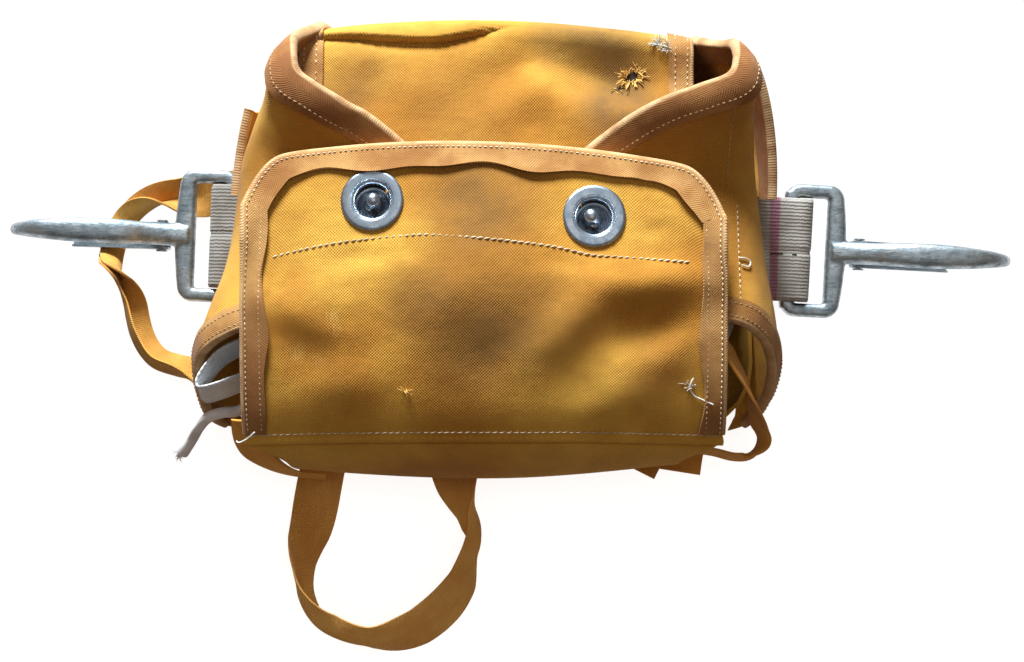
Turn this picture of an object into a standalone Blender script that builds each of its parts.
"""Packed cargo parachute: a soft canvas pack lying on its back, closed by an outer flap with
two eyelets over two cones, with a snap hook on webbing at each side and loose cotton tapes.

Metres, +Z up. The origin is the middle of the pack's flat back, on the surface it lies on.
+X runs along the line of the two hooks, and -Y is the edge that the outer flap folds up from.
"""

import math

import bmesh
import bpy
from mathutils import Matrix, Vector
from mathutils.bvhtree import BVHTree

# Cloth thicknesses and the gap that touching pieces keep
CANVAS = 0.0016
TAPE = 0.0012
BINDING_LEG = 0.0008
BINDING_WIDTH = 0.0095
GAP = 0.0003
WEBBING = 0.0021

# The pack: a rounded loaf whose skin is the surface that every panel follows
MIDDLE = Vector((-0.001, -0.009, 0.036))
HALF_WIDTH = 0.1045
WIDTH_TAPER = 0.080
HALF_LENGTH = 0.086
LOW_EDGE_BOW_LEFT = 0.0070
LOW_EDGE_BOW_RIGHT = 0.0108
CROWN_UP = 0.036
CROWN_FALL = 0.007
CROWN_FALL_START = 0.000
CROWN_FALL_LENGTH = 0.085
BELLY_DOWN = 0.040
CORNER_POWER = 4.2
PROFILE_POWER = 3.5
CANOPY_SHARE = 0.945
CANOPY_CORNER_POWER = 2.5

# How far each panel's middle surface lies outside the loaf
SIDE_FLAP_OFFSET = 0.0032

# Wall panels end this high above the surface
HEM_HEIGHT = 0.008
BACK_RIM_HEIGHT = 0.020

# Outer flap, as seen from above
FLAP_LEFT = -0.0995
FLAP_RIGHT = 0.0875
FLAP_TOP = 0.024
FLAP_TOP_PEAK_X = -0.020
FLAP_TOP_BOW = 1.05
FLAP_CORNER_RADIUS = 0.018
FLAP_SIDE_DROP = 0.0070
FLAP_SEAM_STEP = 0.065
FLAP_WALL_TAPER = 0.105
FLAP_HEM_TAPER = 0.13
FLAP_WALL_TUCK_LEFT = 0.0055
FLAP_WALL_TUCK_RIGHT = 0.0085

# Snap hooks
FRAME_WIDTH = 0.024
FRAME_LENGTH = 0.056
FRAME_HEIGHT = 0.020
FRAME_BAR = 0.0055
OUTER_BAR = 0.0085
BAR_DEPTH = 0.0060
HOOK_THICKNESS = 0.0095
GATE_SHEET = 0.0009
GATE_PIVOT_OUT = 0.0105
GATE_PIVOT_DROP = 0.0095
GATE_LENGTH = 0.0390
GATE_WEB_DROP = 0.0046
LUG_RADIUS = 0.0032
RIVET_RADIUS = 0.0012
WEBBING_WIDTH = 0.0437

# Eyelets and cones
EYELET_OUTER = 0.0122
EYELET_BORE = 0.0056
EYELET_BARREL = 0.0062
EYELET_HOLE = 0.0067
CONE_BASE = 0.0080
CONE_FOOT = 0.0044
CONE_TIP = 0.0024

TAPE_WIDTH = 0.019


def material(name, colour, roughness, metallic=0.0):
    made = bpy.data.materials.new(name)
    made.use_nodes = True
    shader = made.node_tree.nodes["Principled BSDF"]
    shader.inputs["Base Color"].default_value = (*colour, 1.0)
    shader.inputs["Roughness"].default_value = roughness
    shader.inputs["Metallic"].default_value = metallic
    return made


def smooth(t):
    t = min(1.0, max(0.0, t))
    return t * t * (3.0 - 2.0 * t)


def mix(a, b, t):
    return a + (b - a) * t


def along_table(rows, t):
    """A smooth curve through a table's rows, evenly spaced in t from 0 to 1."""
    place = min(max(t, 0.0), 1.0) * (len(rows) - 1)
    k = min(int(place), len(rows) - 2)
    f = place - k
    picked = [rows[min(max(k + step, 0), len(rows) - 1)] for step in (-1, 0, 1, 2)]
    values = []
    for a, b, c, d in zip(*picked):
        slope_in = (c - a) / 2
        slope_out = (d - b) / 2
        values.append(
            b * (2 * f**3 - 3 * f**2 + 1)
            + slope_in * (f**3 - 2 * f**2 + f)
            + c * (3 * f**2 - 2 * f**3)
            + slope_out * (f**3 - f**2)
        )
    return values


# The loaf
def crown(y):
    return CROWN_UP - CROWN_FALL * smooth((CROWN_FALL_START - y) / CROWN_FALL_LENGTH)


def half_width(y):
    """The loaf narrows towards its upper end."""
    return HALF_WIDTH - WIDTH_TAPER * y


def half_length(x, y):
    """The loaf's lower edge bows up towards its corners."""
    if y > MIDDLE.y:
        return HALF_LENGTH
    bow = LOW_EDGE_BOW_RIGHT if x > MIDDLE.x else LOW_EDGE_BOW_LEFT
    return HALF_LENGTH - bow * smooth(abs(x - MIDDLE.x) / 0.1)


def level(point, corner_power=CORNER_POWER):
    """1 on the loaf's skin, less inside it and more outside."""
    across = abs(point.x - MIDDLE.x) / half_width(point.y)
    along = abs(point.y - MIDDLE.y) / half_length(point.x, point.y)
    height = point.z - MIDDLE.z
    up = abs(height) / (crown(point.y) if height > 0 else BELLY_DOWN)
    plan = (across**corner_power + along**corner_power) ** (1 / corner_power)
    return (plan**PROFILE_POWER + up**PROFILE_POWER) ** (1 / PROFILE_POWER)


def skin_normal(point):
    step = 0.0004
    slopes = []
    for axis in range(3):
        ahead = point.copy()
        behind = point.copy()
        ahead[axis] += step
        behind[axis] -= step
        slopes.append(level(ahead) - level(behind))
    return Vector(slopes).normalized()


def skin_point(turn, rise, share=1.0, corner_power=CORNER_POWER):
    """Where the ray at a plan angle and a rise, both in radians, leaves the loaf."""
    flat = math.cos(rise)
    ray = Vector(
        (
            HALF_WIDTH * math.cos(turn) * flat,
            HALF_LENGTH * math.sin(turn) * flat,
            CROWN_UP * math.sin(rise),
        )
    )
    near, far = 0.0, 2.5
    for _ in range(40):
        guess = (near + far) / 2
        if level(MIDDLE + ray * guess, corner_power) < share:
            near = guess
        else:
            far = guess
    return MIDDLE + ray * near


def rise_at_height(turn, height):
    """The rise below the middle at which the skin is at that height."""
    low, high = -math.pi / 2, 0.0
    for _ in range(40):
        guess = (low + high) / 2
        if skin_point(turn, guess).z < height:
            low = guess
        else:
            high = guess
    return high


def top_height(x, y):
    """The loaf's height over a place in plan."""
    across = abs(x - MIDDLE.x) / half_width(y)
    along = abs(y - MIDDLE.y) / half_length(x, y)
    plan = (across**CORNER_POWER + along**CORNER_POWER) ** (1 / CORNER_POWER)
    left = max(0.0, 1 - min(plan, 1.0) ** PROFILE_POWER)
    return MIDDLE.z + crown(y) * left ** (1 / PROFILE_POWER)


# Making meshes
def add_object(name, mesh, finish):
    made = bpy.data.objects.new(name, mesh)
    bpy.context.scene.collection.objects.link(made)
    made.data.materials.append(finish)
    return made


def mesh_object(name, points, faces, finish, sharp_degrees=50.0):
    mesh = bpy.data.meshes.new(name)
    mesh.from_pydata([tuple(p) for p in points], [], faces)
    shape = bmesh.new()
    shape.from_mesh(mesh)
    bmesh.ops.recalc_face_normals(shape, faces=shape.faces)
    shape.to_mesh(mesh)
    shape.free()
    made = add_object(name, mesh, finish)
    mesh.shade_smooth()
    mesh.set_sharp_from_angle(angle=math.radians(sharp_degrees))
    return made


def grid_normals(grid):
    """The unit normal at each point of a grid of points, from its neighbours."""
    rows, columns = len(grid), len(grid[0])
    normals = []
    for i in range(rows):
        line = []
        for j in range(columns):
            along = grid[min(i + 1, rows - 1)][j] - grid[max(i - 1, 0)][j]
            across = grid[i][min(j + 1, columns - 1)] - grid[i][max(j - 1, 0)]
            line.append(along.cross(across).normalized())
        normals.append(line)
    return normals


def sheet_solid(name, grid, thickness, finish):
    """A cloth of even thickness whose middle surface is the grid."""
    rows, columns = len(grid), len(grid[0])
    normals = grid_normals(grid)
    points = []
    for side in (1, -1):
        for i in range(rows):
            for j in range(columns):
                points.append(grid[i][j] + normals[i][j] * (side * thickness / 2))
    under = rows * columns

    def at(i, j):
        return i * columns + j

    faces = []
    for i in range(rows - 1):
        for j in range(columns - 1):
            quad = (at(i, j), at(i + 1, j), at(i + 1, j + 1), at(i, j + 1))
            faces.append(quad)
            faces.append(tuple(under + k for k in reversed(quad)))
    rim = [at(i, 0) for i in range(rows)]
    rim += [at(rows - 1, j) for j in range(1, columns)]
    rim += [at(i, columns - 1) for i in range(rows - 2, -1, -1)]
    rim += [at(0, j) for j in range(columns - 2, 0, -1)]
    for k, a in enumerate(rim):
        b = rim[(k + 1) % len(rim)]
        faces.append((a, under + a, under + b, b))
    return mesh_object(name, points, faces, finish)


def swept_solid(name, sections, finish, closed=False, sharp_degrees=50.0):
    """A solid through a run of like sections, each a ring of points, capped unless closed."""
    count = len(sections[0])
    points = [p for section in sections for p in section]
    faces = []
    steps = len(sections) if closed else len(sections) - 1
    for k in range(steps):
        here = k * count
        there = ((k + 1) % len(sections)) * count
        for j in range(count):
            after = (j + 1) % count
            faces.append((here + j, here + after, there + after, there + j))
    if not closed:
        faces.append(tuple(range(count)))
        last = (len(sections) - 1) * count
        faces.append(tuple(last + j for j in reversed(range(count))))
    return mesh_object(name, points, faces, finish, sharp_degrees)


def binding_solid(name, edge_points, finish, gap=0.0004):
    """A tape folded over a cloth's edge. Each row of edge_points holds the cloth's middle
    surface at the edge, halfway in and at the tape's inner side, each with its normal."""
    near = CANVAS / 2 + gap
    far = near + BINDING_LEG
    sections = []
    for (edge, edge_up), (half, half_up), (inner, inner_up) in edge_points:
        out = (edge - half).normalized()
        in_lip = edge + out * gap
        out_lip = edge + out * (gap + BINDING_LEG)
        sections.append(
            [
                inner + inner_up * near,
                inner + inner_up * far,
                half + half_up * far,
                out_lip + edge_up * far,
                out_lip - edge_up * far,
                half - half_up * far,
                inner - inner_up * far,
                inner - inner_up * near,
                half - half_up * near,
                in_lip - edge_up * near,
                in_lip + edge_up * near,
                half + half_up * near,
            ]
        )
    return swept_solid(name, sections, finish)


def surface_and_normal(place, u, v):
    """A point of a placed surface with its unit normal, by small steps."""
    step = 0.004
    here = place(u, v)
    along = place(u + step, v) - place(u - step, v)
    across = place(u, v + step) - place(u, v - step)
    return here, along.cross(across).normalized()


def bound_grid(place, heights, inner, width=BINDING_WIDTH, low_bound=True):
    """A grid over a placed surface, one row for each v in heights. Its outer columns lie half
    and one binding's width in from the edge, so that a binding can follow the cloth's facets."""
    step = 0.01
    grid = []
    for v in heights:
        low = width * step / (place(step, v) - place(0, v)).length if low_bound else 0.0
        high = 1 - width * step / (place(1, v) - place(1 - step, v)).length
        stations = [0.0, low / 2] if low_bound else []
        stations += [mix(low, high, k / (inner - 1)) for k in range(inner)]
        stations += [(high + 1) / 2, 1.0]
        grid.append([place(u, v) for u in stations])
    return grid


def bind_edge(name, grid, columns, rows, finish, gap=0.0004):
    """A binding along one side of a bound grid: columns run from the edge inwards."""
    normals = grid_normals(grid)
    stations = []
    for j in rows:
        stations.append([(grid[j][i], normals[j][i]) for i in columns])
    return binding_solid(name, stations, finish, gap)


def turned_solid(name, profile, place, steps, finish, ring=True):
    """A profile of (radius, height) rows spun about the axis of a placing matrix."""
    sections = []
    for k in range(steps):
        angle = 2 * math.pi * k / steps
        section = []
        for radius, height in profile:
            spot = Vector((radius * math.cos(angle), radius * math.sin(angle), height))
            section.append(place @ spot)
        sections.append(section)
    if ring:
        return swept_solid(name, sections, finish, closed=True)
    count = len(profile)
    points = [p for section in sections for p in section]
    faces = [tuple(k * count for k in reversed(range(steps)))]
    faces.append(tuple(k * count + count - 1 for k in range(steps)))
    for k in range(steps):
        here, there = k * count, ((k + 1) % steps) * count
        for j in range(count - 1):
            faces.append((here + j, there + j, there + j + 1, here + j + 1))
    return mesh_object(name, points, faces, finish)


def cut(target, cutter):
    """Takes the cutter out of the target."""
    cutter.hide_render = True
    cutter.display_type = "WIRE"
    change = target.modifiers.new("cut", "BOOLEAN")
    change.operation = "DIFFERENCE"
    change.solver = "EXACT"
    change.object = cutter


def join(target, other):
    """Joins the other solid to the target."""
    other.hide_render = True
    other.display_type = "WIRE"
    change = target.modifiers.new("join", "BOOLEAN")
    change.operation = "UNION"
    change.solver = "EXACT"
    change.object = other


# Canopy and back panel
def build_canopy(finish):
    turns, rises = 32, 11
    floor = CANVAS + 2 * GAP
    rings = []
    for j in range(rises):
        rise = mix(-1.30, 1.35, j / (rises - 1))
        ring = []
        for i in range(turns):
            turn = 2 * math.pi * i / turns
            spot = skin_point(turn, rise, CANOPY_SHARE, CANOPY_CORNER_POWER)
            spot.z = max(spot.z, floor)
            ring.append(spot)
        rings.append(ring)
    return swept_solid("canopy", rings, finish)


def back_rim(turn):
    """The back panel's rim stands higher at the two lower corners."""
    for corner in (math.radians(222), math.radians(318)):
        away = abs((turn - corner + math.pi) % (2 * math.pi) - math.pi)
        if away < math.radians(24):
            return BACK_RIM_HEIGHT + 0.007 * (1 - smooth(away / math.radians(24)))
    return BACK_RIM_HEIGHT


def back_point(turn, share):
    """The back panel's middle surface, from the middle of the back at 0 to its rim at 1."""
    rise = mix(rise_at_height(turn, -0.0038), rise_at_height(turn, back_rim(turn)), share)
    spot = skin_point(turn, rise)
    spot.z = max(spot.z, CANVAS / 2)
    return spot


def build_back_panel(finish):
    """A flat back whose edge turns up round the loaf, made as one folded slab."""
    turns, steps = 36, 6
    upper, under = [], []
    for j in range(steps):
        ring_up, ring_down = [], []
        for i in range(turns):
            turn = 2 * math.pi * i / turns
            spot = back_point(turn, j / (steps - 1))
            flat = spot.z <= CANVAS / 2 + 1e-6
            out = Vector((0, 0, -1)) if flat else skin_normal(spot)
            ring_up.append(spot - out * (CANVAS / 2))
            below = spot + out * (CANVAS / 2)
            below.z = max(below.z, 0.0)
            ring_down.append(below)
        upper.append(ring_up)
        under.append(ring_down)
    return swept_solid("back_panel", upper + list(reversed(under)), finish)


# Outer flap and bottom wall, from the flap's free edge over the front and down the wall
FLAP_PROFILE = (
    # y, z
    (0.0240, 0.0850),
    (0.0090, 0.0848),
    (-0.0080, 0.0838),
    (-0.0260, 0.0820),
    (-0.0440, 0.0786),
    (-0.0620, 0.0736),
    (-0.0780, 0.0666),
    (-0.0885, 0.0580),
    (-0.0940, 0.0470),
    (-0.0970, 0.0350),
    (-0.0974, 0.0230),
    (-0.0931, 0.0105),
)
SEAM_SHARE = 7 / 11


def flap_edge_bow(u):
    """How far the flap's free edge falls below its highest point, by its bow alone."""
    x = mix(FLAP_LEFT, FLAP_RIGHT, (u + 1) / 2)
    return FLAP_TOP_BOW * (x - FLAP_TOP_PEAK_X) ** 2


def flap_corner(u):
    """How far the round corners take the free edge down."""
    start = 1 - 2 * FLAP_CORNER_RADIUS / (FLAP_RIGHT - FLAP_LEFT)
    past = max(0.0, min((abs(u) - start) / (1 - start), 1.0))
    return FLAP_CORNER_RADIUS * past**2.4


def flap_point(u, v):
    """The outer flap's middle surface: u from -1 at its left edge to 1, v from 0 at the free
    edge to 1 at the hem of the bottom wall."""
    y, z = along_table(FLAP_PROFILE, v)
    front = v / SEAM_SHARE
    y -= flap_edge_bow(u) * (1 - smooth(front)) + flap_corner(u) * (1 - smooth(front / 0.50))
    wall = smooth((v - SEAM_SHARE) / (1 - SEAM_SHARE))
    past = max(0.0, v - SEAM_SHARE)
    step = FLAP_SEAM_STEP * smooth(past / 0.012) + FLAP_WALL_TAPER * smooth(past / 0.13)
    step += FLAP_HEM_TAPER * smooth((past - 0.17) / 0.19)
    half = (FLAP_RIGHT - FLAP_LEFT) / 2 * (1 - step)
    centre = (FLAP_LEFT + FLAP_RIGHT) / 2
    drop = FLAP_SIDE_DROP * abs(u) ** 2.6 * (1 - wall) * mix(0.45, 1.0, smooth(v / 0.3))
    tuck = (FLAP_WALL_TUCK_LEFT if u < 0 else FLAP_WALL_TUCK_RIGHT) * u**2 * wall
    return Vector((centre + half * u, y + tuck, z - drop))


FLAP_COLUMNS = (0.0, 0.22, 0.45, 0.65, 0.80, 0.87, 0.925, 0.965, 0.99, 1.0)
FLAP_ROWS = tuple(
    SEAM_SHARE * share
    for share in (0.0, 0.07, 0.15, 0.24, 0.33, 0.43, 0.53, 0.62, 0.70, 0.77, 0.83, 0.885, 0.94, 1.0)
)
WALL_ROWS = tuple(mix(SEAM_SHARE, 1.0, share) for share in (0.09, 0.25, 0.45, 0.65, 0.85, 1.0))


def flap_columns():
    return [-u for u in reversed(FLAP_COLUMNS[1:])] + list(FLAP_COLUMNS)


def build_front_flap(finish):
    grid = [[flap_point(u, v) for u in flap_columns()] for v in FLAP_ROWS + WALL_ROWS]
    return sheet_solid("front_flap", grid, CANVAS, finish)


def flap_place(x, y):
    """The flap's middle surface and upward normal over a place in plan, above the seam."""
    u = (x - (FLAP_LEFT + FLAP_RIGHT) / 2) / ((FLAP_RIGHT - FLAP_LEFT) / 2)
    low, high = 0.0, SEAM_SHARE
    for _ in range(40):
        v = (low + high) / 2
        if flap_point(u, v).y > y:
            low = v
        else:
            high = v
    point, normal = surface_and_normal(flap_point, u, low)
    return point, normal if normal.z > 0 else -normal


def build_flap_binding(finish):
    """One tape up the flap's left side, along its free edge and down its right side."""
    sides = list(FLAP_ROWS[1:-1])
    path = [flap_point(-1, v) for v in reversed(sides)]
    path += [flap_point(u, 0) for u in flap_columns()]
    path += [flap_point(1, v) for v in sides]
    rows = []
    for k, spot in enumerate(path):
        ahead = path[min(k + 1, len(path) - 1)] - path[max(k - 1, 0)]
        inward = Vector((ahead.y, -ahead.x, 0)).normalized()
        row = []
        for share in (0.01, 0.5, 1.0):
            target = spot + inward * (BINDING_WIDTH * share)
            row.append(flap_place(target.x, target.y))
        rows.append(row)
    return binding_solid("front_flap_binding", rows, finish, gap=0.0005)


# Side flaps: each is a side wall that folds over the top, with a bound ear at its upper end and
# a bound pocket mouth at its lower end. Both rims are pulled off the loaf to these places.
SHOULDER_SHARE = 0.26
PULL_DEGREES = 17.0
SIDE_TURNS = {
    # plan angle in degrees: upper end of the wall and at the corner, lower end of the wall
    "left": {"wall": 124.0, "corner": 134.0, "inner": 128.0, "low_wall": 214.0, "low_inner": 201.0},
    "right": {"wall": 54.0, "corner": 45.0, "inner": 51.0, "low_wall": -35.0, "low_inner": -22.0},
}
UPPER_RIMS = {
    "left": (
        (-0.0660, 0.0700, 0.0060),
        (-0.0700, 0.0750, 0.0150),
        (-0.0740, 0.0765, 0.0270),
        (-0.0775, 0.0765, 0.0420),
        (-0.0795, 0.0770, 0.0580),
        (-0.0830, 0.0765, 0.0745),
        (-0.0925, 0.0655, 0.0835),
        (-0.0880, 0.0510, 0.0862),
        (-0.0690, 0.0425, 0.0855),
        (-0.0480, 0.0335, 0.0815),
        (-0.0280, 0.0160, 0.0772),
    ),
    "right": (
        (0.0640, 0.0680, 0.0060),
        (0.0690, 0.0730, 0.0150),
        (0.0730, 0.0750, 0.0270),
        (0.0775, 0.0760, 0.0420),
        (0.0795, 0.0745, 0.0580),
        (0.0825, 0.0700, 0.0745),
        (0.0945, 0.0635, 0.0835),
        (0.0920, 0.0500, 0.0862),
        (0.0700, 0.0430, 0.0855),
        (0.0460, 0.0315, 0.0812),
        (0.0220, 0.0130, 0.0772),
    ),
}
LOWER_RIMS = {
    "left": (
        (-0.1080, -0.0740, 0.0070),
        (-0.1180, -0.0725, 0.0130),
        (-0.1215, -0.0680, 0.0230),
        (-0.1220, -0.0610, 0.0340),
        (-0.1210, -0.0550, 0.0440),
        (-0.1155, -0.0505, 0.0560),
        (-0.1030, -0.0460, 0.0655),
        (-0.0860, -0.0425, 0.0685),
        (-0.0670, -0.0370, 0.0712),
        (-0.0470, -0.0310, 0.0735),
        (-0.0270, -0.0250, 0.0750),
    ),
    "right": (
        (0.0960, -0.0750, 0.0070),
        (0.1050, -0.0720, 0.0130),
        (0.1090, -0.0660, 0.0230),
        (0.1105, -0.0595, 0.0340),
        (0.1095, -0.0540, 0.0440),
        (0.1050, -0.0480, 0.0560),
        (0.0960, -0.0435, 0.0655),
        (0.0820, -0.0410, 0.0685),
        (0.0650, -0.0375, 0.0712),
        (0.0450, -0.0325, 0.0735),
        (0.0250, -0.0265, 0.0750),
    ),
}


def side_turns(side, v):
    """The plan angles of a side flap's two free ends, in degrees, at v up and over it."""
    ends = SIDE_TURNS[side]
    upper = mix(ends["wall"], ends["corner"], smooth((v - 0.30) / 0.22))
    upper = mix(upper, ends["inner"], smooth((v - 0.60) / 0.40))
    lower = mix(ends["low_wall"], ends["low_inner"], smooth((v - 0.10) / 0.80))
    return upper, lower


def side_base(degrees, v):
    """A side flap's middle surface before its rims are pulled."""
    turn = math.radians(degrees)
    start = rise_at_height(turn, HEM_HEIGHT)
    spot = skin_point(turn, mix(start, math.acos(SHOULDER_SHARE), v))
    return spot + skin_normal(spot) * SIDE_FLAP_OFFSET


def side_point(side, u, v):
    """A side flap's middle surface: u from 0 at the upper ear's rim to 1 at the lower rim,
    v from 0 at the hem to 1 at the inner edge under the outer flap."""
    upper, lower = side_turns(side, v)
    degrees = mix(upper, lower, u)
    spot = side_base(degrees, v)
    for end, rims in ((upper, UPPER_RIMS), (lower, LOWER_RIMS)):
        near = math.exp(-((abs(degrees - end) / PULL_DEGREES) ** 2))
        if near > 0.0005:
            pull = Vector(along_table(rims[side], v)) - side_base(end, v)
            spot = spot + pull * near
    return spot


SIDE_HEIGHTS = (0.0, 0.07, 0.15, 0.23, 0.31, 0.38, 0.44, 0.49, 0.525, 0.555, 0.58, 0.605, 0.63, 0.66,
                0.70, 0.76, 0.82, 0.88, 0.94, 1.0)


def build_side_flap(side, canvas, tape):
    def place(u, v):
        return side_point(side, u, v)

    grid = bound_grid(place, SIDE_HEIGHTS, 9)
    last = len(grid[0]) - 1
    rows = range(4, len(SIDE_HEIGHTS))
    bind_edge(f"side_flap_{side}_upper_binding", grid, (0, 1, 2), rows, tape, gap=0.0008)
    rows = range(1, len(SIDE_HEIGHTS))
    bind_edge(f"side_flap_{side}_lower_binding", grid, (last, last - 1, last - 2), rows, tape)
    return sheet_solid(f"side_flap_{side}", grid, CANVAS, canvas)


# Top flap: the top wall, a ridge, a valley and the flap under the ears
TOP_PROFILE = (
    # y, z
    (0.0745, 0.0090),
    (0.0795, 0.0230),
    (0.0815, 0.0400),
    (0.0810, 0.0560),
    (0.0795, 0.0690),
    (0.0765, 0.0770),
    (0.0715, 0.0765),
    (0.0680, 0.0728),
    (0.0600, 0.0748),
    (0.0480, 0.0750),
    (0.0340, 0.0738),
    (0.0180, 0.0724),
    (0.0020, 0.0721),
)
TOP_LEFT = -0.0755
TOP_RIGHT = 0.0735
TOP_PEAK_X = -0.012
TOP_EDGE_BOW = 1.05


def top_point(u, v):
    """The top flap's middle surface: u from -1 at its left edge to 1, v from 0 at the hem."""
    y, z = along_table(TOP_PROFILE, v)
    x = mix(TOP_LEFT, TOP_RIGHT, (u + 1) / 2)
    sway = TOP_EDGE_BOW * (x - TOP_PEAK_X) ** 2
    over = smooth((v - 0.15) / 0.25)
    front = smooth((v - 0.62) / 0.38)
    y -= sway * over * (1 - front)
    sag = top_height(MIDDLE.x, 0.030) - top_height(x, 0.030)
    return Vector((x, y, z - sag * over * mix(0.8, 1.0, front)))


TOP_HEIGHTS = (0.0, 0.08, 0.16, 0.24, 0.32, 0.37, 0.41, 0.45, 0.49, 0.53, 0.57, 0.61, 0.67, 0.75,
               0.83, 0.92, 1.0)


def build_top_flap(canvas, tape):
    def place(u, v):
        return top_point(2 * u - 1, v)

    grid = bound_grid(place, TOP_HEIGHTS, 8)
    last = len(grid[0]) - 1
    rows = range(5, len(TOP_HEIGHTS))
    bind_edge("top_flap_binding_left", grid, (0, 1, 2), rows, tape)
    bind_edge("top_flap_binding_right", grid, (last, last - 1, last - 2), rows, tape)
    sheet_solid("top_flap", grid, CANVAS, canvas)


# Side tabs: bound leaves that stand off the side walls, behind the ears
TABS = {
    # where the tab starts and ends along the wall, and how far its edge stands off there
    "left": {"low": 0.42, "high": 0.20, "near": 0.0025, "far": 0.0035},
    "right": {"low": 0.42, "high": 0.10, "near": 0.0040, "far": 0.0110},
}
TAB_ROOT = 0.30
TAB_EDGE = 0.47
TAB_OFFSET = CANVAS + BINDING_LEG + 2 * GAP
TAB_SEAT = 0.0010


def tab_point(side, u, v):
    """A side tab's middle surface: u from its root to its bound edge, v along the wall."""
    tab = TABS[side]

    def wall(across, up):
        return side_point(side, across, up)

    spot, out = surface_and_normal(wall, mix(tab["low"], tab["high"], v), mix(TAB_ROOT, TAB_EDGE, u))
    if out.dot(spot - MIDDLE) < 0:
        out = -out
    seat = TAB_SEAT * (1 - u) ** 2 * smooth((0.8 - v) / 0.4)
    return spot + out * (TAB_OFFSET - seat + mix(tab["near"], tab["far"], v) * u**1.5)


def build_side_tab(side, canvas, tape):
    def place(u, v):
        return tab_point(side, u, v)

    grid = bound_grid(place, [k / 9 for k in range(10)], 3, 0.0085, low_bound=False)
    last = len(grid[0]) - 1
    columns = (last, last - 1, last - 2)
    bind_edge(f"side_tab_{side}_binding", grid, columns, range(len(grid)), tape)
    sheet_solid(f"side_tab_{side}", grid, CANVAS, canvas)


# Eyelets and cones
def upright(point, normal):
    """A matrix whose Z axis is the normal and whose origin is the point."""
    return Matrix.Translation(point) @ normal.to_track_quat("Z", "Y").to_matrix().to_4x4()


EYELETS = {"left": (-0.0492, 0.0012), "right": (0.0368, -0.0052)}


def build_eyelet(side, flap, metal):
    x, y = EYELETS[side]
    point, normal = flap_place(x, y)
    place = upright(point, normal)
    hole = turned_solid(
        f"eyelet_hole_{side}",
        ((EYELET_HOLE, -0.01), (EYELET_HOLE, 0.01)),
        place,
        20,
        metal,
        ring=False,
    )
    cut(flap, hole)
    top = CANVAS / 2 + GAP
    under = -CANVAS / 2 - 2 * GAP
    plate = 0.0008
    profile = (
        (EYELET_BORE, under - plate),
        (0.0108, under - plate),
        (0.0108, under),
        (EYELET_BARREL, under),
        (EYELET_BARREL, top),
        (EYELET_OUTER, top),
        (EYELET_OUTER - 0.0006, top + plate),
        (EYELET_BORE + 0.0014, top + plate + 0.0006),
        (EYELET_BORE, top),
    )
    turned_solid(f"grommet_{side}", profile, place, 18, metal)


def cloth_tree(cloth):
    """A search tree over a cloth's facets."""
    return BVHTree.FromPolygons(
        [v.co for v in cloth.data.vertices], [tuple(p.vertices) for p in cloth.data.polygons]
    )


def build_cone(side, cloth, metal):
    """The locking cone, its base on the side flap and its tip out through the eyelet."""
    x, y = EYELETS[side]
    tree = cloth_tree(cloth)
    down = Vector((0, 0, -1))
    heights = []
    for k in range(12):
        angle = 2 * math.pi * k / 12
        spot = Vector((x + CONE_BASE * math.cos(angle), y + CONE_BASE * math.sin(angle), 0.1))
        heights.append(tree.ray_cast(spot, down)[0])
    middle, _, _, _ = tree.ray_cast(Vector((x, y, 0.1)), down)
    normal = Vector((0, 0, 0))
    for a, b in zip(heights, heights[1:] + heights[:1]):
        normal += (a - middle).cross(b - middle)
    normal.normalize()
    clear = max((spot - middle).dot(normal) for spot in heights + [middle]) + GAP
    foot = middle + normal * clear
    flap_middle, _ = flap_place(x, y)
    tall = flap_middle.z + 0.0046 - foot.z
    place = upright(foot, normal)
    profile = (
        (CONE_BASE, 0.0),
        (CONE_BASE, 0.0011),
        (CONE_FOOT + 0.0006, 0.0018),
        (CONE_FOOT, 0.0040),
        (CONE_TIP, tall - 0.0012),
        (CONE_TIP - 0.0012, tall),
    )
    cone = turned_solid(f"cone_{side}", profile, place, 16, metal, ring=False)
    across = place @ Matrix.Translation((0, 0, tall - 0.0042)) @ Matrix.Rotation(math.pi / 2, 4, "Y")
    pin_hole = turned_solid(
        f"cone_hole_{side}", ((0.0011, -0.01), (0.0011, 0.01)), across, 8, metal, ring=False
    )
    cut(cone, pin_hole)


# Snap hooks, built lying along +X from the outer face of the slotted frame and then placed
SNAPS = {
    # middle of the slotted frame, turn about +Z and roll about +X in degrees, the hook's way
    "left": {"at": (-0.1235, 0.0067), "turn": -2.0, "roll": 13.0, "way": -1},
    "right": {"at": (0.1318, 0.0000), "turn": -3.0, "roll": 15.0, "way": 1},
}
HOOK_PATH = (
    # out, up, half width across, half height
    (-0.0030, 0.0000, 0.0054, 0.0040),
    (0.0050, 0.0006, 0.0048, 0.0046),
    (0.0140, 0.0042, 0.0047, 0.0040),
    (0.0230, 0.0092, 0.0050, 0.0034),
    (0.0320, 0.0112, 0.0052, 0.0033),
    (0.0450, 0.0115, 0.0050, 0.0033),
    (0.0580, 0.0100, 0.0040, 0.0034),
    (0.0670, 0.0050, 0.0029, 0.0034),
    (0.0700, -0.0020, 0.0023, 0.0032),
    (0.0660, -0.0080, 0.0027, 0.0030),
    (0.0580, -0.0108, 0.0032, 0.0028),
    (0.0505, -0.0112, 0.0032, 0.0024),
)


def snap_matrix(side):
    """Places a hook built along +X, with its frame's middle at the origin."""
    snap = SNAPS[side]
    place = Matrix.Translation((*snap["at"], FRAME_HEIGHT))
    place @= Matrix.Rotation(math.radians(snap["roll"]), 4, "X")
    place @= Matrix.Rotation(math.radians(snap["turn"]), 4, "Z")
    if snap["way"] < 0:
        place @= Matrix.Rotation(math.pi, 4, "Z")
    return place


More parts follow.
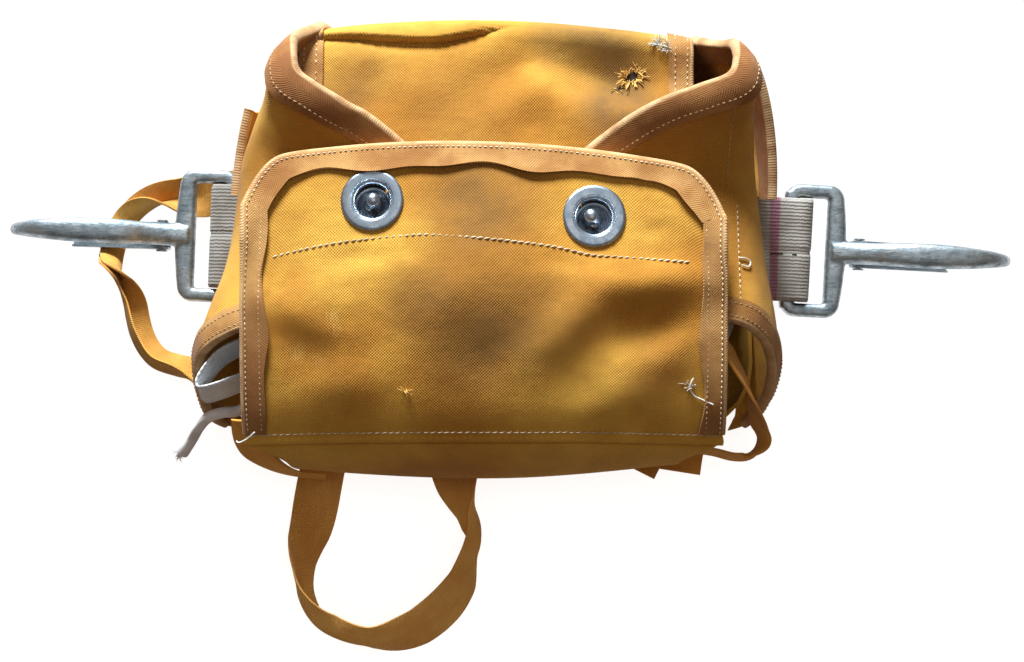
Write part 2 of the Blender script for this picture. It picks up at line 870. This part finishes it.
BAR_SECTION = (
    # share of the half width, share of the half depth
    (1.0, 0.5), (0.6, 1.0), (-0.6, 1.0), (-1.0, 0.5),
    (-1.0, -0.5), (-0.6, -1.0), (0.6, -1.0), (1.0, -0.5),
)


def frame_stations():
    """Places round the slotted frame's bars with their outward directions and bar widths."""
    half_x = (FRAME_WIDTH - FRAME_BAR) / 2
    half_y = (FRAME_LENGTH - FRAME_BAR) / 2
    radius = 0.0040
    stations = []
    for sx, sy, first in ((1, -1, 270), (1, 1, 0), (-1, 1, 90), (-1, -1, 180)):
        if sx > 0 and sy > 0:
            for y in (-0.014, -0.005, 0.005, 0.014):
                wide = mix(OUTER_BAR, 0.0068, abs(y) / half_y)
                stations.append((Vector((half_x, y, 0)), Vector((1, 0, 0)), wide))
        for k in range(5):
            angle = math.radians(first + 90 * k / 4)
            out = Vector((math.cos(angle), math.sin(angle), 0))
            corner = Vector((sx * (half_x - radius), sy * (half_y - radius), 0))
            wide = mix(FRAME_BAR, 0.0068, max(0.0, out.x)) if sx > 0 else FRAME_BAR
            stations.append((corner + out * radius, out, wide))
    return stations


def build_frame_ring(side, metal):
    """The slotted frame: a rounded ring whose outer bar swells towards the hook."""
    place = snap_matrix(side)
    sections = []
    for spot, out, wide in frame_stations():
        centre = spot + out * ((wide - FRAME_BAR) / 2)
        ring = []
        for across, high in BAR_SECTION:
            rise = Vector((0, 0, BAR_DEPTH / 2 * high))
            ring.append(place @ (centre + out * (wide / 2 * across) + rise))
        sections.append(ring)
    return swept_solid(f"snap_{side}", sections, metal, closed=True)


def build_hook(side, metal):
    """The hook's bent bar, the lug that carries the gate and its rivet hole."""
    place = snap_matrix(side)
    start = FRAME_WIDTH / 2
    stations = 30
    spots = [along_table(HOOK_PATH, k / (stations - 1)) for k in range(stations)]
    sections = []
    for k, (out, up, half_across, half_high) in enumerate(spots):
        ahead, behind = spots[min(k + 1, stations - 1)], spots[max(k - 1, 0)]
        run = Vector((ahead[0] - behind[0], 0, ahead[1] - behind[1])).normalized()
        high = Vector((-run.z, 0, run.x))
        ring = []
        for j in range(8):
            angle = 2 * math.pi * (j + 0.5) / 8
            spot = Vector((start + out, 0, up))
            spot += high * (half_high * math.sin(angle) / math.cos(math.pi / 8))
            spot.y += half_across * math.cos(angle) / math.cos(math.pi / 8)
            ring.append(place @ spot)
        sections.append(ring)
    hook = swept_solid(f"hook_bar_{side}", sections, metal)
    pivot = Vector((start + GATE_PIVOT_OUT, 0, -GATE_PIVOT_DROP))
    lug_place = place @ Matrix.Translation(pivot) @ Matrix.Rotation(math.pi / 2, 4, "X")
    half = HOOK_THICKNESS / 2 - 0.0005
    outline = [(LUG_RADIUS, GATE_PIVOT_DROP - 0.0012), (-LUG_RADIUS, GATE_PIVOT_DROP - 0.0012)]
    for k in range(9):
        angle = math.pi + math.pi * k / 8
        outline.append((LUG_RADIUS * math.cos(angle), LUG_RADIUS * math.sin(angle)))
    lug_rings = []
    for y in (-half, half):
        lug_rings.append([place @ (pivot + Vector((x, y, z))) for x, z in outline])
    lug = swept_solid(f"hook_lug_{side}", lug_rings, metal)
    hole = turned_solid(
        f"rivet_hole_{side}",
        ((RIVET_RADIUS + GAP, -0.01), (RIVET_RADIUS + GAP, 0.01)),
        lug_place,
        12,
        metal,
        ring=False,
    )
    return (hook, lug), hole


def build_snap(side, metal):
    frame = build_frame_ring(side, metal)
    bodies, hole = build_hook(side, metal)
    for body in bodies:
        join(frame, body)
    cut(frame, hole)


def build_gate(side, metal):
    """The sprung gate: a sheet-metal channel, open upwards, that straddles the lug."""
    place = snap_matrix(side)
    pivot = Vector((FRAME_WIDTH / 2 + GATE_PIVOT_OUT, 0, -GATE_PIVOT_DROP))
    inner = HOOK_THICKNESS / 2 + 0.0001
    outer = inner + GATE_SHEET
    floor_out = -GATE_WEB_DROP
    floor_in = floor_out + GATE_SHEET
    rows = (
        # along from the pivot, wall top
        (-0.0030, 0.0012),
        (-0.0018, 0.0028),
        (0.0018, 0.0028),
        (0.0080, 0.0010),
        (0.0300, 0.0004),
        (GATE_LENGTH - 0.0015, 0.0002),
        (GATE_LENGTH, -0.0010),
    )
    sections = []
    for along, wall in rows:
        ring = [
            (-outer, floor_out + 0.0005),
            (-outer + 0.0005, floor_out),
            (outer - 0.0005, floor_out),
            (outer, floor_out + 0.0005),
            (outer, wall),
            (inner, wall),
            (inner, floor_in),
            (-inner, floor_in),
            (-inner, wall),
            (-outer, wall),
        ]
        sections.append([place @ (pivot + Vector((along, y, z))) for y, z in ring])
    gate = swept_solid(f"gate_{side}", sections, metal)
    lie = place @ Matrix.Translation(pivot) @ Matrix.Rotation(math.pi / 2, 4, "X")
    hole = turned_solid(
        f"gate_hole_{side}",
        ((RIVET_RADIUS + GAP, -0.01), (RIVET_RADIUS + GAP, 0.01)),
        lie,
        12,
        metal,
        ring=False,
    )
    cut(gate, hole)
    head = outer + GAP
    profile = (
        (RIVET_RADIUS + 0.0012, -head - 0.0007),
        (RIVET_RADIUS + 0.0012, -head),
        (RIVET_RADIUS, -head),
        (RIVET_RADIUS, head),
        (RIVET_RADIUS + 0.0012, head),
        (RIVET_RADIUS + 0.0012, head + 0.0007),
    )
    turned_solid(f"rivet_{side}", profile, lie, 12, metal, ring=False)


# Webbing round each frame's inner bar, with both ends against the side wall
def build_webbing(side, wall, finish):
    place = snap_matrix(side)
    inside = BAR_DEPTH / 2 + GAP
    slack = 0.0045
    straight = -(FRAME_WIDTH - FRAME_BAR) / 2 + 0.0030
    bar_face = -FRAME_WIDTH / 2 - 0.0005
    cloth = cloth_tree(wall)
    inward = (place.to_3x3() @ Vector((-1, 0, 0))).normalized()

    def root_and_rise(y, height, way):
        """How far in the wall is at a place across, and how much the leg closes up there."""
        rise = 1.0
        for _ in range(3):
            reach = []
            for z in (height * rise, height * rise + WEBBING * way):
                start = place @ Vector((straight, y, z))
                reach.append((cloth.ray_cast(start, inward)[0] - start).length)
            root = straight - min(reach) + 2 * GAP
            rise = 1 - 0.6 * smooth((bar_face - root) / 0.014)
        return root, rise

    def leg(y, height, way):
        """One leg's inner line at a place across, from the wall out to the bar."""
        root, rise = root_and_rise(y, height, way)
        line = []
        for share in (0.0, 0.33, 0.67, 1.0):
            line.append((mix(root, bar_face, share), height * mix(rise, 1.0, smooth(share))))
        return line + [(straight, height)]

    sections = []
    for share in (-1.0, -0.5, 0.0, 0.5, 1.0):
        y = share * WEBBING_WIDTH / 2
        nose = []
        for k in range(1, 6):
            angle = math.pi / 2 - math.pi * k / 6
            nose.append((straight + slack * math.cos(angle), inside * math.sin(angle)))
        line = leg(y, inside, 1) + nose + list(reversed(leg(y, -inside, -1)))
        spots = [Vector((x, 0, z)) for x, z in line]
        outer = []
        for k, spot in enumerate(spots):
            run = (spots[min(k + 1, len(spots) - 1)] - spots[max(k - 1, 0)]).normalized()
            outer.append(spot + Vector((-run.z, 0, run.x)) * WEBBING)
        loop = spots + list(reversed(outer))
        sections.append([place @ Vector((p.x, y, p.z)) for p in loop])
    swept_solid(f"webbing_{side}", sections, finish)


# Loose tapes: each row is a place on the tape's middle, the height of its lower edge and its
# roll, 0 lying flat and 90 standing on edge
TAPES = {
    "carry_loop": (
        # x, y, lowest, roll
        (-0.0735, -0.0805, 0.0004, 0.0),
        (-0.0760, -0.0960, 0.0004, 4.0),
        (-0.0785, -0.1150, 0.0004, 30.0),
        (-0.0825, -0.1310, 0.0004, 64.0),
        (-0.0815, -0.1455, 0.0004, 82.0),
        (-0.0720, -0.1580, 0.0004, 100.0),
        (-0.0535, -0.1640, 0.0004, 112.0),
        (-0.0370, -0.1590, 0.0004, 134.0),
        (-0.0215, -0.1470, 0.0004, 136.0),
        (-0.0110, -0.1300, 0.0004, 112.0),
        (-0.0085, -0.1185, 0.0004, 88.0),
        (-0.0110, -0.1080, 0.0004, 60.0),
        (-0.0180, -0.0960, 0.0004, 16.0),
        (-0.0230, -0.0805, 0.0004, 0.0),
    ),
    "left_loop": (
        (-0.1060, 0.0330, 0.0060, 6.0),
        (-0.1200, 0.0310, 0.0004, 20.0),
        (-0.1360, 0.0290, 0.0004, 30.0),
        (-0.1500, 0.0255, 0.0004, 24.0),
        (-0.1600, 0.0180, 0.0004, 8.0),
        (-0.1645, 0.0070, 0.0004, 5.0),
        (-0.1640, -0.0050, 0.0004, 46.0),
        (-0.1615, -0.0180, 0.0004, 64.0),
        (-0.1570, -0.0350, 0.0004, 66.0),
        (-0.1490, -0.0465, 0.0004, 62.0),
        (-0.1380, -0.0510, 0.0004, 58.0),
        (-0.1260, -0.0530, 0.0004, 30.0),
        (-0.1100, -0.0550, 0.0004, 4.0),
    ),
    "strap_end_a": (
        (0.0630, -0.0780, 0.0018, 0.0),
        (0.0605, -0.0830, 0.0006, 0.0),
        (0.0584, -0.0869, 0.0004, 0.0),
        (0.0566, -0.0904, 0.0004, 0.0),
    ),
    "strap_end_b": (
        (0.0768, -0.0795, 0.0046, 0.0),
        (0.0762, -0.0838, 0.0031, 0.0),
        (0.0755, -0.0880, 0.0023, 0.0),
        (0.0749, -0.0918, 0.0021, 0.0),
    ),
}

# Tapes that hang in the air: places on the tape's middle, then the way its width points
HUNG_TAPES = {
    "corner_strap": (
        # x, y, z, width's x, y, z
        (-0.1000, -0.0790, 0.0500, 1.00, 0.00, 0.05),
        (-0.1004, -0.0835, 0.0445, 0.98, 0.00, 0.20),
        (-0.0998, -0.0872, 0.0375, 0.85, 0.10, 0.50),
        (-0.0968, -0.0900, 0.0300, 0.60, 0.25, 0.75),
        (-0.0905, -0.0935, 0.0238, 0.25, 0.15, 0.95),
        (-0.0820, -0.0957, 0.0205, 0.00, 0.00, 1.00),
        (-0.0715, -0.0963, 0.0190, 0.00, 0.00, 1.00),
    ),
    "right_loop": (
        (0.0884, -0.0470, 0.0570, -0.30, -0.20, 0.92),
        (0.0900, -0.0510, 0.0565, -0.45, -0.30, 0.84),
        (0.0933, -0.0566, 0.0550, -0.40, -0.25, 0.88),
        (0.0979, -0.0626, 0.0495, -0.30, -0.15, 0.94),
        (0.1020, -0.0691, 0.0415, -0.10, 0.00, 1.00),
        (0.1056, -0.0762, 0.0315, 0.10, 0.05, 1.00),
        (0.1072, -0.0818, 0.0220, 0.15, 0.10, 0.99),
        (0.1038, -0.0868, 0.0150, 0.00, 0.10, 0.99),
        (0.0974, -0.0874, 0.0135, 0.00, 0.05, 1.00),
        (0.0886, -0.0855, 0.0145, 0.00, 0.03, 1.00),
        (0.0788, -0.0848, 0.0165, 0.00, 0.00, 1.00),
        (0.0715, -0.0850, 0.0180, 0.00, 0.00, 1.00),
        (0.0660, -0.0857, 0.0185, 0.00, 0.00, 1.00),
    ),
    "white_fold": (
        (-0.1000, -0.0470, 0.0460, 0.00, 0.20, 0.98),
        (-0.1060, -0.0490, 0.0460, 0.00, 0.20, 0.98),
        (-0.1123, -0.0530, 0.0460, 0.00, 0.22, 0.98),
        (-0.1175, -0.0595, 0.0460, 0.00, 0.25, 0.97),
        (-0.1200, -0.0650, 0.0460, 0.00, 0.25, 0.97),
        (-0.1180, -0.0675, 0.0460, 0.00, 0.25, 0.97),
        (-0.1120, -0.0660, 0.0460, 0.00, 0.25, 0.97),
        (-0.1048, -0.0632, 0.0460, 0.00, 0.25, 0.97),
        (-0.0990, -0.0615, 0.0460, 0.00, 0.25, 0.97),
    ),
}
HUNG_WIDTHS = {"corner_strap": 0.0125, "right_loop": 0.013, "white_fold": 0.015}

# The loose cord, from inside the lower left opening to its frayed end on the surface
CORD_RADIUS = 0.0023
CORD_PATH = (
    # x, y, z, thickness
    (-0.0970, -0.0672, 0.0330, 1.0),
    (-0.1068, -0.0712, 0.0306, 1.0),
    (-0.1137, -0.0716, 0.0286, 1.0),
    (-0.1200, -0.0728, 0.0245, 1.0),
    (-0.1250, -0.0755, 0.0175, 1.0),
    (-0.1295, -0.0792, 0.0095, 1.1),
    (-0.1345, -0.0832, 0.0045, 1.55),
)


def tape_grid(rows, count, width=TAPE_WIDTH, thickness=TAPE):
    """The middle surface of a tape from its table: a run of places, three points across."""
    spots = [along_table(rows, k / (count - 1)) for k in range(count)]
    grid = []
    for k, (x, y, lowest, roll) in enumerate(spots):
        ahead, behind = spots[min(k + 1, count - 1)], spots[max(k - 1, 0)]
        run = Vector((ahead[0] - behind[0], ahead[1] - behind[1], 0)).normalized()
        flat = Vector((run.y, -run.x, 0))
        angle = math.radians(roll)
        side = flat * math.cos(angle) + Vector((0, 0, math.sin(angle)))
        rise = width / 2 * abs(math.sin(angle)) + thickness / 2 * abs(math.cos(angle))
        middle = Vector((x, y, lowest + rise))
        grid.append([middle + side * (width / 2 * s) for s in (-1, 0, 1)])
    return grid


def hung_grid(rows, count, width=TAPE_WIDTH):
    """The middle surface of a hung tape, its width squared up to its run."""
    spots = [along_table(rows, k / (count - 1)) for k in range(count)]
    grid = []
    for k, spot in enumerate(spots):
        ahead, behind = spots[min(k + 1, count - 1)], spots[max(k - 1, 0)]
        run = (Vector(ahead[:3]) - Vector(behind[:3])).normalized()
        side = Vector(spot[3:])
        side = (side - run * side.dot(run)).normalized()
        grid.append([Vector(spot[:3]) + side * (width / 2 * s) for s in (-1, 0, 1)])
    return grid


def build_cord(finish):
    """A cord with round section, a little flared at its frayed end."""
    line = bpy.data.curves.new("white_cord", "CURVE")
    line.dimensions = "3D"
    line.bevel_depth = CORD_RADIUS
    line.bevel_resolution = 2
    line.use_fill_caps = True
    stations = 22
    spline = line.splines.new("POLY")
    spline.points.add(stations - 1)
    for k in range(stations):
        x, y, z, wide = along_table(CORD_PATH, k / (stations - 1))
        spline.points[k].co = (x, y, z, 1.0)
        spline.points[k].radius = wide
    made = bpy.data.objects.new("white_cord", line)
    bpy.context.scene.collection.objects.link(made)
    line.materials.append(finish)


def build_loose_tapes(finish, white):
    counts = {"carry_loop": 40, "left_loop": 36}
    for name, rows in TAPES.items():
        sheet_solid(name, tape_grid(rows, counts.get(name, 8)), TAPE, finish)
    for name, rows in HUNG_TAPES.items():
        look = white if name == "white_fold" else finish
        sheet_solid(name, hung_grid(rows, 26, HUNG_WIDTHS[name]), TAPE, look)


def main():
    for old in list(bpy.data.objects):
        bpy.data.objects.remove(old)
    canvas = material("canvas", (0.55, 0.31, 0.05), 0.85)
    binding = material("binding_tape", (0.58, 0.27, 0.08), 0.8)
    white = material("canopy_white", (0.72, 0.72, 0.70), 0.8)
    beige = material("webbing", (0.50, 0.46, 0.42), 0.85)
    steel = material("cast_steel", (0.36, 0.38, 0.39), 0.42, 1.0)
    bright = material("eyelet_metal", (0.55, 0.58, 0.62), 0.3, 1.0)
    build_canopy(white)
    build_back_panel(canvas)
    flap = build_front_flap(canvas)
    build_flap_binding(binding)
    for side in ("left", "right"):
        wall = build_side_flap(side, canvas, binding)
        build_side_tab(side, canvas, binding)
        build_eyelet(side, flap, bright)
        build_cone(side, wall, bright)
        build_snap(side, steel)
        build_gate(side, steel)
        build_webbing(side, wall, beige)
    build_top_flap(canvas, binding)
    build_loose_tapes(canvas, white)
    build_cord(white)


main()
